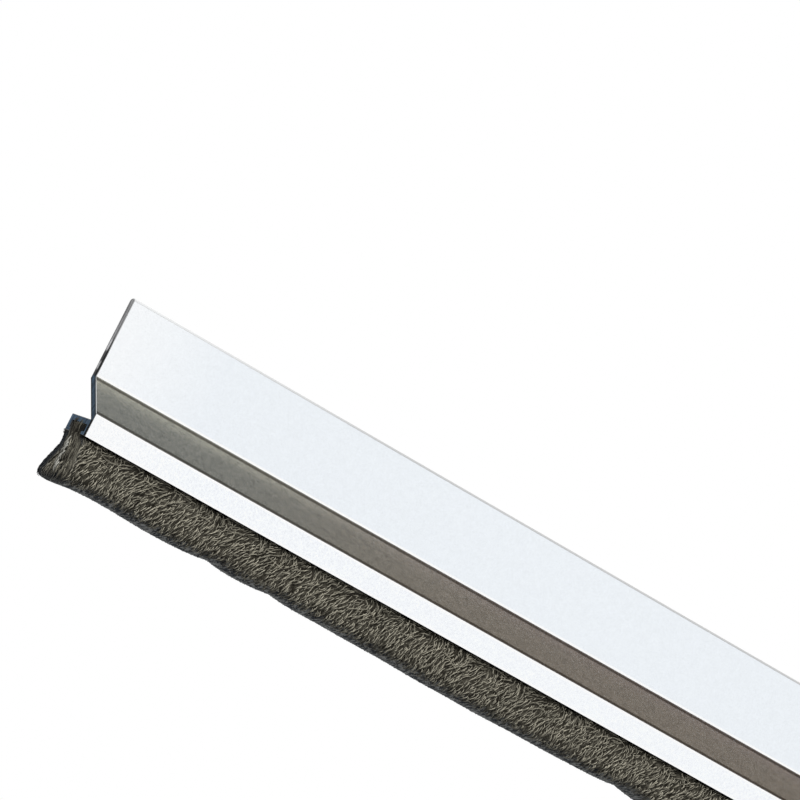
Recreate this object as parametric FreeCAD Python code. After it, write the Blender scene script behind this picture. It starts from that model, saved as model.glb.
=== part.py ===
import FreeCAD, Part
import math
import os

# Door draught strip, as fitted: X runs along the strip, -Y faces the room, +Z is up.
# The origin is the centre of the flange's back face. All sizes are in millimetres.

# Backing ribbon that carries the pile, and the room it has in its channel
BACKING_WIDTH = 6.7
BACKING_THICKNESS = 1.2
BACKING_SIDE_CLEARANCE = 0.25
BACKING_HEADROOM = 0.4

# Extruded carrier
STRIP_LENGTH = 838.0
FLANGE_HEIGHT = 20.0
FLANGE_WALL = 2.0
WEB_SLOPE_DEG = 45.0
CHANNEL_WALL = 1.5
CHANNEL_SET_DOWN = 1.7
LIP_REACH = 1.0
LIP_THICKNESS = 1.0

# Rounding of the carrier's edges
TOP_BACK_RADIUS = 0.9
INNER_FOLD_RADIUS = 0.35
OUTER_FOLD_RADIUS = 0.3
EDGE_BREAK = 0.15

# Pile: its drop below the carrier, and its width at the shoulder and, but for its rounding, at the foot
PILE_DROP = 11.3
PILE_SHOULDER_WIDTH = 8.3
PILE_FOOT_WIDTH = 14.3
PILE_LIP_CLEARANCE = 0.2
PILE_SHOULDER_CLEARANCE = 0.3
PILE_END_SETBACK = 0.3

# How round the pile's lower edge is, how it is stepped, and how its height wanders along the strip
FOOT_ROUNDING_POWER = 8
FLANK_STEPS = 7
STATION_SPACING = 28.0
DROP_WANDER = 0.35
WANDER_LENGTHS = (310.0, 170.0)

# Loosened pile at a sawn end: it fans out behind the carrier and dies away along X
END_FAN_REACH = 4.2
END_FAN_LENGTH = 11.0
END_STATION_SETBACKS = (0.0, 2.5, 5.5, 9.5)

# Heights and depths that follow from the sizes above
channel_inner_depth = BACKING_WIDTH + 2 * BACKING_SIDE_CLEARANCE
channel_depth = channel_inner_depth + 2 * CHANNEL_WALL
channel_inner_height = BACKING_THICKNESS + BACKING_HEADROOM
channel_height = CHANNEL_WALL + channel_inner_height + LIP_THICKNESS
web_reach = channel_depth - FLANGE_WALL
web_slope = math.radians(WEB_SLOPE_DEG)
web_drop = web_reach / math.tan(web_slope)

flange_top_z = FLANGE_HEIGHT / 2
fold_z = -FLANGE_HEIGHT / 2
face_top_z = fold_z - web_drop
channel_top_z = face_top_z - CHANNEL_SET_DOWN
ceiling_z = channel_top_z - CHANNEL_WALL
carrier_bottom_z = channel_top_z - channel_height
lip_top_z = carrier_bottom_z + LIP_THICKNESS

flange_front_y = -FLANGE_WALL
face_front_y = -channel_depth
slot_front_y = face_front_y + CHANNEL_WALL + LIP_REACH
slot_back_y = -CHANNEL_WALL - LIP_REACH
pile_centre_y = -channel_depth / 2


def rounded_outline(corners):
    """Closed wire in the YZ plane through (y, z, radius) corners, each rounded by its radius."""
    points = [FreeCAD.Vector(0, y, z) for y, z, _ in corners]
    starts = []
    ends = []
    middles = []
    for i, (_, _, radius) in enumerate(corners):
        corner = points[i]
        to_last = (points[i - 1] - corner).normalize()
        to_next = (points[(i + 1) % len(points)] - corner).normalize()
        half_angle = to_last.getAngle(to_next) / 2
        reach = radius / math.tan(half_angle)
        bisector = (to_last + to_next).normalize()
        starts.append(corner + to_last * reach)
        ends.append(corner + to_next * reach)
        middles.append(corner + bisector * (radius / math.sin(half_angle) - radius))
    edges = []
    for i, (_, _, radius) in enumerate(corners):
        if radius > 0:
            edges.append(Part.Arc(starts[i], middles[i], ends[i]).toShape())
        edges.append(Part.makeLine(ends[i], starts[(i + 1) % len(points)]))
    return Part.Wire(edges)


def web_back_y(z):
    """Y of the sloping web's back surface at the height z."""
    back_shift = FLANGE_WALL / math.cos(web_slope)
    return flange_front_y - (fold_z - z) * math.tan(web_slope) + back_shift


def web_back_z(y):
    """Height of the sloping web's back surface at the depth y."""
    back_shift = FLANGE_WALL / math.sin(web_slope)
    return fold_z - (flange_front_y - y) / math.tan(web_slope) - back_shift


def make_carrier():
    """One extrusion: fixing flange, sloping web, front face and the channel behind it."""
    corners = [
        (flange_front_y, flange_top_z, EDGE_BREAK),
        (flange_front_y, fold_z, INNER_FOLD_RADIUS),
        (face_front_y, face_top_z, OUTER_FOLD_RADIUS),
        (face_front_y, carrier_bottom_z, EDGE_BREAK),
        (slot_front_y, carrier_bottom_z, EDGE_BREAK),
        (slot_front_y, lip_top_z, 0),
        (face_front_y + CHANNEL_WALL, lip_top_z, 0),
        (face_front_y + CHANNEL_WALL, ceiling_z, 0),
        (-CHANNEL_WALL, ceiling_z, 0),
        (-CHANNEL_WALL, lip_top_z, 0),
        (slot_back_y, lip_top_z, 0),
        (slot_back_y, carrier_bottom_z, EDGE_BREAK),
        (0, carrier_bottom_z, EDGE_BREAK),
        (0, channel_top_z, EDGE_BREAK),
        (web_back_y(channel_top_z), channel_top_z, EDGE_BREAK),
        (0, web_back_z(0), OUTER_FOLD_RADIUS),
        (0, flange_top_z, TOP_BACK_RADIUS),
    ]
    section = Part.Face(rounded_outline(corners))
    section.translate(FreeCAD.Vector(-STRIP_LENGTH / 2, 0, 0))
    return section.extrude(FreeCAD.Vector(STRIP_LENGTH, 0, 0))


def make_backing():
    """Ribbon that lies on the channel's two lips."""
    corner = FreeCAD.Vector(-STRIP_LENGTH / 2, pile_centre_y - BACKING_WIDTH / 2, lip_top_z)
    return Part.makeBox(STRIP_LENGTH, BACKING_WIDTH, BACKING_THICKNESS, corner)


def pile_drop_at(x):
    """Drop of the pile below the carrier, which wanders a little along the strip."""
    wave = sum(math.sin(2 * math.pi * x / length) for length in WANDER_LENGTHS)
    return PILE_DROP + DROP_WANDER * wave / len(WANDER_LENGTHS)


def pile_half_width(share):
    """Half width of the pile at a share of its drop: the flanks spread, then round in to the foot."""
    flank = PILE_SHOULDER_WIDTH + (PILE_FOOT_WIDTH - PILE_SHOULDER_WIDTH) * share
    return flank / 2 * math.sqrt(1 - share ** FOOT_ROUNDING_POWER)


def pile_section(x):
    """Closed outline of the pile's section at the place x along the strip."""
    shoulder_z = carrier_bottom_z - PILE_SHOULDER_CLEARANCE
    height = pile_drop_at(x) - PILE_SHOULDER_CLEARANCE
    fan = END_FAN_REACH * math.exp((abs(x) - STRIP_LENGTH / 2) / END_FAN_LENGTH)
    neck_half = (slot_back_y - slot_front_y) / 2 - PILE_LIP_CLEARANCE
    shares = [math.sin(math.pi / 2 * i / FLANK_STEPS) for i in range(FLANK_STEPS)]
    front = [(-pile_half_width(share), shoulder_z - height * share) for share in shares]
    foot = [(fan / 2, shoulder_z - height)]
    back = [(pile_half_width(share) + fan * share ** 2, shoulder_z - height * share) for share in shares]
    neck_front = [(-neck_half, lip_top_z), (-neck_half, shoulder_z)]
    neck_back = [(neck_half, shoulder_z), (neck_half, lip_top_z)]
    outline = neck_front + front + foot + back[::-1] + neck_back
    points = [FreeCAD.Vector(x, pile_centre_y + y, z) for y, z in outline]
    return Part.makePolygon(points + points[:1])


def pile_stations():
    """Places along the strip where the pile's section is drawn, closer together at the ends."""
    half = STRIP_LENGTH / 2 - PILE_END_SETBACK
    inner_half = half - END_STATION_SETBACKS[-1]
    count = max(2, round(2 * inner_half / STATION_SPACING))
    left_end = [-half + setback for setback in END_STATION_SETBACKS[:-1]]
    middle = [-inner_half + 2 * inner_half * i / count for i in range(count + 1)]
    return left_end + middle + [-x for x in reversed(left_end)]


def make_pile():
    """Dense pile that hangs from the ribbon through the channel's slot."""
    sections = [pile_section(x) for x in pile_stations()]
    return Part.makeLoft(sections, True, True)


def main():
    os.makedirs("parts", exist_ok=True)
    nodes = {
        "carrier_profile": make_carrier(),
        "pile_backing": make_backing(),
        "pile": make_pile(),
    }
    for name, shape in nodes.items():
        shape.exportStep(f"parts/{name}.step")


main()
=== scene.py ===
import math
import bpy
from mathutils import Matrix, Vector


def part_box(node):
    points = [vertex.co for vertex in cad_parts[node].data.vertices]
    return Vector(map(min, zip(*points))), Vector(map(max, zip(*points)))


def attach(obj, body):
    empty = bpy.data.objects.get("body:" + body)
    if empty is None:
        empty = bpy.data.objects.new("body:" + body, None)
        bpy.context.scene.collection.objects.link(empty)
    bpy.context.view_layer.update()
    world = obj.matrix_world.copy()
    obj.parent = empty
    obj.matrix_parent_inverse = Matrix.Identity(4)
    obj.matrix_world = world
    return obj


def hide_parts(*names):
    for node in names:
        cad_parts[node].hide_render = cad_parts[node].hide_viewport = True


bl_info = {
    "name": "Door Draught Strip",
    "version": (1, 0, 0),
    "blender": (4, 5, 0),
    "location": "3D Viewport > Sidebar > Draught Strip",
    "description": "Finishes an extruded carrier and fills its channel with dense pile",
    "category": "Object",
}

import bpy
import numpy as np
from bpy.props import FloatProperty, FloatVectorProperty, IntProperty, PointerProperty
from mathutils import Matrix, Vector

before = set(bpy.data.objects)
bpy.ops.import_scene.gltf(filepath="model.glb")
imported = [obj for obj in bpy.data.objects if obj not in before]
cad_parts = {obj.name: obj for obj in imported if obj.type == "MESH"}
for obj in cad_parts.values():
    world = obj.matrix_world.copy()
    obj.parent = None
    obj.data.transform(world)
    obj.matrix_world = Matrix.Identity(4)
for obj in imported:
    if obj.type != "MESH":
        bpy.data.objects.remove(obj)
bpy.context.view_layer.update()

CARRIER = "carrier_profile"
BACKING = "pile_backing"
PILE = "pile"
SEED = 20


class CarrierShape(bpy.types.PropertyGroup):
    """Section of the extruded carrier."""

    flange_height: FloatProperty(
        name="Flange height", description="Height of the flat fixing flange", default=0.020,
        unit="LENGTH")
    flange_wall: FloatProperty(
        name="Flange wall", description="Thickness of the flange and the web", default=0.002,
        unit="LENGTH")
    channel_wall: FloatProperty(
        name="Channel wall", description="Thickness of the channel's walls", default=0.0015,
        unit="LENGTH")
    set_down: FloatProperty(
        name="Set down", description="Top of the channel below the upper fold of the face",
        default=0.0017, unit="LENGTH")
    lip_reach: FloatProperty(
        name="Lip reach", description="Reach of each lip into the slot", default=0.001, unit="LENGTH")
    lip_thickness: FloatProperty(
        name="Lip thickness", description="Thickness of the lips", default=0.001, unit="LENGTH")
    top_back_radius: FloatProperty(
        name="Top back radius", description="Rounding of the flange's top back edge",
        default=0.0009, unit="LENGTH")
    top_front_radius: FloatProperty(
        name="Top front radius", description="Rounding of the flange's top front edge",
        default=0.0006, unit="LENGTH")
    inner_fold_radius: FloatProperty(
        name="Inner fold radius", description="Rounding between flange and web", default=0.00015,
        unit="LENGTH")
    outer_fold_radius: FloatProperty(
        name="Outer fold radius", description="Rounding between web and face", default=0.0003,
        unit="LENGTH")
    edge_break: FloatProperty(
        name="Edge break", description="Rounding of the other long edges", default=0.00004,
        unit="LENGTH")
    end_break: FloatProperty(
        name="End break", description="Small bevel left by deburring a sawn end",
        default=0.00012, unit="LENGTH")


class MetalFinish(bpy.types.PropertyGroup):
    """Satin anodised aluminium and its sawn ends."""

    colour: FloatVectorProperty(
        name="Colour", description="Anodised face", subtype="COLOR", default=(0.86, 0.90, 0.94))
    # Painted highlight: the lower front face is drawn brighter than the flange, for the light it reflects
    front_highlight_colour: FloatVectorProperty(
        name="Front colour", description="Lower front face, buffed brighter", subtype="COLOR",
        default=(0.92, 0.945, 0.98))
    # Painted shade: the dark line along each fold stands in for the shade and dark reflections in the folds
    fold_shade_colour: FloatVectorProperty(
        name="Fold colour", description="Darker line that the die leaves along each fold",
        subtype="COLOR", default=(0.045, 0.03, 0.02))
    # Painted shade: this matt grey stands in for the shading on the rounded top edge and on the end bevels
    rim_shade_colour: FloatVectorProperty(
        name="Rim colour", description="Matter metal of the flange's rounded top edge",
        subtype="COLOR", default=(0.80, 0.81, 0.82))
    sawn_colour: FloatVectorProperty(
        name="Sawn colour", description="Bare metal of the flange's sawn end", subtype="COLOR",
        default=(1.0, 0.985, 0.98))
    # Painted reflection: this dark blue stands in for the dark surroundings that the lower sawn ends reflect,
    # and for their shade
    sawn_low_reflection_colour: FloatVectorProperty(
        name="Low sawn colour", description="Tarnished metal of the web's and channel's sawn ends",
        subtype="COLOR", default=(0.09, 0.145, 0.21))
    roughness: FloatProperty(
        name="Roughness", description="Roughness of the anodised face", default=0.16, min=0, max=1)
    sawn_roughness: FloatProperty(
        name="Sawn roughness", description="Roughness of a sawn end", default=0.42, min=0, max=1)
    line_pitch: FloatProperty(
        name="Die line pitch", description="Spacing of the fine lines left by the die",
        default=0.00035, unit="LENGTH")
    line_length: FloatProperty(
        name="Die line length", description="How far a die line runs before it fades",
        default=0.12, unit="LENGTH")
    saw_pitch: FloatProperty(
        name="Saw mark pitch", description="Spacing of the marks on a sawn end",
        default=0.00045, unit="LENGTH")


class PileShape(bpy.types.PropertyGroup):
    """Outer form of the brushed pile."""

    drop: FloatProperty(
        name="Drop", description="Drop of the pile below the carrier", default=0.0119, unit="LENGTH")
    shoulder_width: FloatProperty(
        name="Shoulder width", description="Width straight under the carrier", default=0.0089,
        unit="LENGTH")
    foot_width: FloatProperty(
        name="Foot width", description="Width that the flanks aim at, before the rounding",
        default=0.0143, unit="LENGTH")
    shoulder_gap: FloatProperty(
        name="Shoulder gap", description="Gap between the carrier and the pile's shoulder",
        default=0.0003, unit="LENGTH")
    rounding: FloatProperty(
        name="Rounding", description="Higher is a squarer foot", default=8.0, min=2)
    neck_width: FloatProperty(
        name="Neck width", description="Width of the pile in the channel's slot", default=0.0048,
        unit="LENGTH")
    fan_reach: FloatProperty(
        name="Fan reach", description="How far a sawn end fans out behind the carrier",
        default=0.0045, unit="LENGTH")
    fan_length: FloatProperty(
        name="Fan length", description="Length over which the fan dies away", default=0.011,
        unit="LENGTH")
    end_bulge: FloatProperty(
        name="End bulge", description="Loose pile behind the channel at a sawn end", default=0.0015,
        unit="LENGTH")
    end_pinch: FloatProperty(
        name="End pinch", description="How far the back is drawn in under that bulge", default=0.0006,
        unit="LENGTH")
    end_sag: FloatProperty(
        name="End sag", description="Extra drop of the loose pile near a sawn end", default=0.0007,
        unit="LENGTH")
    corner_sag: FloatProperty(
        name="Corner sag", description="Further drop of the pile at the sawn end's corner",
        default=0.0006, unit="LENGTH")
    corner_lift: FloatProperty(
        name="Corner lift", description="Rise of the foot's back corner at a sawn end", default=0.0006,
        unit="LENGTH")
    wave_height: FloatProperty(
        name="Wave height", description="Rise and fall of the lower edge", default=0.00036,
        unit="LENGTH")
    notch_height: FloatProperty(
        name="Notch height", description="Height of the notches where two tufts part",
        default=0.0013, unit="LENGTH")
    notch_length: FloatProperty(
        name="Notch length", description="Length over which a notch dies away", default=0.0070,
        unit="LENGTH")


class StrandFinish(bpy.types.PropertyGroup):
    """The curled strands that cover the pile."""

    light_colour: FloatVectorProperty(
        name="Light colour", description="Palest strands", subtype="COLOR",
        default=(0.60, 0.565, 0.455))
    dark_colour: FloatVectorProperty(
        name="Dark colour", description="Darkest strands", subtype="COLOR",
        default=(0.023, 0.020, 0.014))
    # Painted shade: the foot's cooler, darker palette stands in for the shade under the pile and on its sawn
    # ends
    foot_shade_dark_colour: FloatVectorProperty(
        name="Dark foot colour", description="Darkest of the cut tips along the foot",
        subtype="COLOR", default=(0.014, 0.018, 0.023))
    foot_shade_light_colour: FloatVectorProperty(
        name="Light foot colour", description="Palest of the cut tips along the foot",
        subtype="COLOR", default=(0.41, 0.42, 0.415))
    under_count: IntProperty(
        name="Under strands", description="Dark strands close to the ground, in each lot",
        default=600, min=10)
    dark_count: IntProperty(
        name="Dark strands", description="Dark crinkled strands on top, in each lot", default=1900,
        min=10)
    pale_count: IntProperty(
        name="Pale strands", description="Pale crinkled strands on top, in each lot", default=5000,
        min=10)
    front_share: FloatProperty(
        name="Front share", description="Share of the flank strands that lie on the front flank",
        default=0.54, min=0, max=1)
    foot_count: IntProperty(
        name="Foot tips", description="Cut tips along the foot, in each lot", default=2200, min=10)
    stray_count: IntProperty(
        name="Stray strands", description="Long pale strands that run along the strip, in each lot",
        default=60, min=1)
    end_count: IntProperty(
        name="End strands", description="Strands on each sawn end", default=520, min=10)
    wisp_count: IntProperty(
        name="Wisps", description="Pale wisps on each sawn end", default=11, min=2)
    lots: IntProperty(
        name="Lots", description="Equal stretches that the strip is divided into", default=5, min=1)
    width: FloatProperty(
        name="Width", description="Width of a strand at its thickest", default=0.00023, unit="LENGTH")
    under_length: FloatProperty(
        name="Under length", description="Mean length of the strands close to the ground",
        default=0.0036, unit="LENGTH")
    over_length: FloatProperty(
        name="Over length", description="Mean length of the crinkled strands on top",
        default=0.0020, unit="LENGTH")
    lean: FloatProperty(
        name="Lean", description="Mean lean of the strands along the strip, halfway down",
        subtype="ANGLE", default=math.radians(38))
    foot_lean: FloatProperty(
        name="Foot lean", description="Mean lean of the strands near the foot", subtype="ANGLE",
        default=math.radians(11))


class StudioSetup(bpy.types.PropertyGroup):
    """Floor, lamps and camera."""

    floor_drop: FloatProperty(
        name="Floor drop", description="Floor below the strip's origin", default=0.35, unit="LENGTH")
    floor_colour: FloatVectorProperty(
        name="Floor colour", description="Pale floor", subtype="COLOR", default=(0.93, 0.93, 0.93))
    sky_level: FloatProperty(
        name="Fill level", description="Strength of the soft fill from all round", default=0.42)
    key_power: FloatProperty(
        name="Key power", description="Power of the soft key lamp", default=52, unit="POWER")
    azimuth: FloatProperty(
        name="Azimuth", description="Camera's angle round the strip", subtype="ANGLE",
        default=math.radians(-30.86))
    elevation: FloatProperty(
        name="Elevation", description="Camera's angle above the strip", subtype="ANGLE",
        default=math.radians(-5.756))
    roll: FloatProperty(
        name="Roll", description="Camera's turn about its own axis", subtype="ANGLE",
        default=math.radians(26.8))
    distance: FloatProperty(
        name="Distance", description="Camera to its aim point", default=1.5248, unit="LENGTH")
    lens: FloatProperty(
        name="Lens", description="Focal length for a 36 mm wide picture", default=298.27,
        unit="CAMERA")


class DraughtStrip(bpy.types.PropertyGroup):
    """All settings of the strip."""

    carrier: PointerProperty(type=CarrierShape)
    metal: PointerProperty(type=MetalFinish)
    pile: PointerProperty(type=PileShape)
    strands: PointerProperty(type=StrandFinish)
    studio: PointerProperty(type=StudioSetup)


class Wire:
    """A shader socket on which Python arithmetic adds Math nodes."""

    def __init__(self, graph, socket):
        self.graph = graph
        self.socket = socket

    def maths(self, operation, *values):
        return self.graph.node("ShaderNodeMath", {"operation": operation}, dict(enumerate(values)))

    def __add__(self, other):
        return self.maths("ADD", self, other)

    def __radd__(self, other):
        return self.maths("ADD", other, self)

    def __sub__(self, other):
        return self.maths("SUBTRACT", self, other)

    def __rsub__(self, other):
        return self.maths("SUBTRACT", other, self)

    def __mul__(self, other):
        return self.maths("MULTIPLY", self, other)

    def __rmul__(self, other):
        return self.maths("MULTIPLY", other, self)

    def __truediv__(self, other):
        return self.maths("DIVIDE", self, other)

    def __gt__(self, other):
        return self.maths("GREATER_THAN", self, other)

    def __lt__(self, other):
        return self.maths("LESS_THAN", self, other)

    def __abs__(self):
        return self.maths("ABSOLUTE", self)

    def larger(self, other):
        return self.maths("MAXIMUM", self, other)


class Graph:
    """Builds the node tree of a material or of the world."""

    def __init__(self, tree):
        self.tree = tree
        tree.nodes.clear()

    def node(self, kind, settings=None, inputs=None, output=0):
        made = self.tree.nodes.new(kind)
        for name, value in (settings or {}).items():
            if name == "stops":
                self.set_stops(made.color_ramp, value)
            else:
                setattr(made, name, value)
        for name, value in (inputs or {}).items():
            if isinstance(value, Wire):
                self.tree.links.new(value.socket, made.inputs[name])
            else:
                made.inputs[name].default_value = value
        return Wire(self, made.outputs[output]) if made.outputs else made

    @staticmethod
    def set_stops(ramp, stops):
        while len(ramp.elements) < len(stops):
            ramp.elements.new(0.5)
        for element, (place, value) in zip(ramp.elements, stops):
            element.position = place
            element.color = (value, value, value, 1)

    def mix_colour(self, factor, first, second):
        settings = {"data_type": "RGBA"}
        made = self.node("ShaderNodeMix", settings, {"Factor": factor}, output=2)
        for name, value in ((6, first), (7, second)):
            socket = made.socket.node.inputs[name]
            if isinstance(value, Wire):
                self.tree.links.new(value.socket, socket)
            else:
                socket.default_value = value
        return made

    def place(self, scale):
        """Object coordinates stretched by a scale for each axis."""
        where = self.node("ShaderNodeTexCoord", output="Object")
        return self.node("ShaderNodeMapping", inputs={"Vector": where, "Scale": scale})

    def noise(self, scale, detail=2.0, roughness=0.5):
        inputs = {"Vector": self.place(scale), "Scale": 1.0, "Detail": detail, "Roughness": roughness}
        return self.node("ShaderNodeTexNoise", inputs=inputs, output=0)

    def ramp(self, value, stops):
        return self.node("ShaderNodeValToRGB", {"stops": stops}, {0: value})

    def bump(self, height, strength, distance):
        inputs = {"Height": height, "Strength": strength, "Distance": distance}
        return self.node("ShaderNodeBump", inputs=inputs)

    def surface(self, inputs):
        shader = self.node("ShaderNodeBsdfPrincipled", inputs=inputs)
        self.node("ShaderNodeOutputMaterial", inputs={"Surface": shader})


def opaque(colour):
    return (*colour, 1.0)


def new_graph(name):
    material = bpy.data.materials.new(name)
    material.use_nodes = True
    return material, Graph(material.node_tree)


def wear(node_object, material):
    """Gives every face of a CAD node one material."""
    node_object.data.materials.clear()
    node_object.data.materials.append(material)


# Brightness of the flange's sawn end, by the share of its height: its core and its borders, with painted glints
# and painted shade
SAWN_CORE_GLINTS_AND_SHADE = (
    (0.0, 0.08), (0.07, 0.12), (0.10, 0.65), (0.17, 0.70), (0.20, 0.12), (0.31, 0.17), (0.34, 1.0),
    (0.43, 1.0), (0.48, 0.50), (1.0, 0.47))
SAWN_BORDER_SHADE = ((0.0, 0.004), (0.33, 0.006), (0.42, 0.05), (0.55, 0.36), (1.0, 0.32))


def sawn_end(graph, finish, shape, depth, height):
    """Colour of a sawn end: a bright core in the flange with painted glints and painted shade, and below it a
    dark blue painted reflection with painted shade.
    """
    low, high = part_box(CARRIER)
    fold = high.z - shape.flange_height
    channel_top = fold - (high.y - shape.flange_wall - low.y) - shape.set_down
    half_wall = shape.flange_wall / 2
    saw = graph.noise((300.0, 1 / finish.saw_pitch, 0.12 / finish.saw_pitch), detail=2.0, roughness=0.6)
    marks = graph.ramp(saw, ((0.34, 0.1), (0.47, 0.4), (0.56, 0.6), (0.64, 1.0)))
    up = (height - fold) / shape.flange_height
    off_core = abs(depth + half_wall * (0.6 + 0.4 * up)) / half_wall
    core = graph.ramp(off_core, ((0.25, 1.0), (0.6, 0.0)))
    level = core * graph.ramp(up, SAWN_CORE_GLINTS_AND_SHADE) + (1 - core) * graph.ramp(up, SAWN_BORDER_SHADE)
    above = graph.node(
        "ShaderNodeHueSaturation",
        inputs={"Value": (0.65 + 0.7 * marks) * level, "Color": opaque(finish.sawn_colour)})
    web_middle = depth - height - (half_wall * math.sqrt(2) - fold - shape.flange_wall)
    in_web = height > channel_top
    # Painted shade: the web's end is darker at its borders, and the end of the channel's front wall is nearly
    # black
    web = graph.ramp(abs(web_middle) / half_wall, ((0.35, 0.75), (1.0, 0.2)))
    channel = 1.0 - 0.97 * (depth < low.y + 0.0009)
    low_end_shade = in_web * web + (1 - in_web) * channel
    below = graph.node(
        "ShaderNodeHueSaturation",
        inputs={"Value": (0.35 + 1.3 * marks) * low_end_shade, "Color": opaque(finish.sawn_low_reflection_colour)})
    lower = graph.node(
        "ShaderNodeMapRange", {"interpolation_type": "SMOOTHSTEP"},
        {"Value": height, "From Min": fold + 0.0006, "From Max": fold - 0.0004})
    return graph.mix_colour(lower, above, below), saw


def near(graph, value, place, reach):
    """1 at a place, fading to 0 at the reach from it."""
    return graph.ramp(abs(value - place) / reach, ((0.35, 1.0), (1.0, 0.0)))


def aluminium(finish, shape):
    """Satin anodised faces with faint die lines, painted shade lines along the folds, painted highlights, and
    sawn ends.
    """
    material, graph = new_graph("satin_anodised_aluminium")
    low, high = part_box(CARRIER)
    fold = high.z - shape.flange_height
    face_top = fold - (high.y - shape.flange_wall - low.y)
    across = 1 / finish.line_pitch
    along = 1 / finish.line_length
    lines = graph.noise((along, across, across), detail=3.0)
    clouds = graph.noise((9.0, 60.0, 60.0), detail=3.0)
    mottle = graph.noise((600.0, 800.0, 800.0), detail=2.0)
    grain = graph.noise((1900.0, 1900.0, 1900.0), detail=3.0, roughness=0.7)
    where = graph.place((1.0, 1.0, 1.0))
    length = graph.node("ShaderNodeSeparateXYZ", inputs={"Vector": where}, output="X")
    depth = graph.node("ShaderNodeSeparateXYZ", inputs={"Vector": where}, output="Y")
    height = graph.node("ShaderNodeSeparateXYZ", inputs={"Vector": where}, output="Z")
    normal = graph.node("ShaderNodeNewGeometry", output="Normal")
    facing = graph.node("ShaderNodeSeparateXYZ", inputs={"Vector": normal}, output="X")
    outward = graph.node("ShaderNodeSeparateXYZ", inputs={"Vector": normal}, output="Y")
    end = abs(facing) > 0.9
    on_front = height < face_top
    # Painted highlight: the lower front face takes the brighter front colour
    plain = graph.mix_colour(on_front, opaque(finish.colour), opaque(finish.front_highlight_colour))
    from_end = high.x - abs(length)
    # Painted highlights: thin bright lines just above the upper fold and along the top and bottom of the lower
    # front face, and front faces brighter near each sawn end
    shine = (
        near(graph, height, fold + 0.0003, 0.0004) + near(graph, height, face_top - 0.0003, 0.0004)
        + near(graph, height, low.z + 0.0003, 0.0004) + graph.ramp(from_end / 0.03, ((0.1, 0.5), (1.0, 0.0))))
    painted_highlights = graph.mix_colour(shine * (outward < -0.9), plain, (1.0, 1.0, 1.0, 1.0))
    on_web = (height < fold) * (height > face_top) * (outward < -0.3)
    shade = (
        0.885 + 0.05 * clouds + (0.06 + 0.45 * on_web) * mottle
        + (0.14 + 1.20 * on_web + 0.22 * on_front) * grain - 0.82 * on_web - 0.10 * on_front)
    bright = graph.node("ShaderNodeHueSaturation", inputs={"Value": shade, "Color": painted_highlights})
    # Painted shade: dark lines on the web along both its folds
    line = near(graph, height, fold - 0.00045, 0.00045) + near(graph, height, face_top + 0.00033, 0.0004)
    folded = graph.mix_colour(0.72 * line * (outward < -0.5), bright, opaque(finish.fold_shade_colour))
    bevel = (abs(facing) > 0.3) * (1 - end)
    # Painted light on the rim: the rounded top edge and the end bevels are matt grey for their shading, with
    # painted shade on the bevels and a painted highlight near each sawn end
    rim = (height > high.z - shape.top_front_radius).larger(bevel)
    bevel_shade = 0.4 + 0.5 * near(graph, height, fold + 0.0035, 0.0055)
    painted_shine = graph.ramp(from_end / 0.08, ((0.1, 0.25), (1.0, 0.0)))
    level = graph.node(
        "ShaderNodeHueSaturation",
        inputs={"Value": 0.75 + painted_shine - bevel_shade * bevel, "Color": opaque(finish.rim_shade_colour)})
    rimmed = graph.mix_colour(rim, folded, level)
    inner_half = (high.y - low.y) / 2 - shape.channel_wall + 0.00004
    inside = (abs(depth - (low.y + high.y) / 2) < inner_half) * (height < fold - 0.009)
    under = (height < low.z + 0.0001) * (outward > -0.5)
    shadowed = inside.larger(under).larger(bevel * (height < face_top))
    hollow = graph.mix_colour(shadowed, rimmed, (0.03, 0.028, 0.025, 1.0))
    sawn, saw = sawn_end(graph, finish, shape, depth, height)
    face_roughness = finish.roughness - 0.03 + 0.04 * clouds + 0.03 * grain
    end_roughness = finish.sawn_roughness - 0.1 + 0.2 * saw
    relief = (0.02 * lines + 0.01 * grain) * (1 - end) + saw * end
    graph.surface({
        "Base Color": graph.mix_colour(end, hollow, sawn),
        "Metallic": 0.90 - 0.75 * rim.larger(shadowed) * (1 - end),
        "Roughness": face_roughness * (1 - end) + end_roughness * end,
        "Normal": graph.bump(relief, 0.6, 0.00004),
    })
    return material


def ribbon_weave():
    """Tight dark weave with a matt coating."""
    material, graph = new_graph("woven_backing_ribbon")
    warp = graph.node(
        "ShaderNodeTexWave", {"bands_direction": "Y"},
        {"Vector": graph.place((1.0, 1.0, 1.0)), "Scale": 1100.0, "Distortion": 1.0})
    weft = graph.node(
        "ShaderNodeTexWave", {"bands_direction": "X"},
        {"Vector": graph.place((1.0, 1.0, 1.0)), "Scale": 900.0, "Distortion": 1.0})
    weave = graph.node("ShaderNodeMath", {"operation": "MULTIPLY"}, {0: warp, 1: weft})
    tone = 0.7 + 0.6 * weave
    base = graph.node(
        "ShaderNodeHueSaturation", inputs={"Value": tone, "Color": (0.011, 0.010, 0.009, 1.0)})
    graph.surface({
        "Base Color": base,
        "Specular IOR Level": 0.1,
        "Roughness": 0.75 + 0.1 * weave,
        "Normal": graph.bump(weave, 0.5, 0.0001),
    })
    return material


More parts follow.
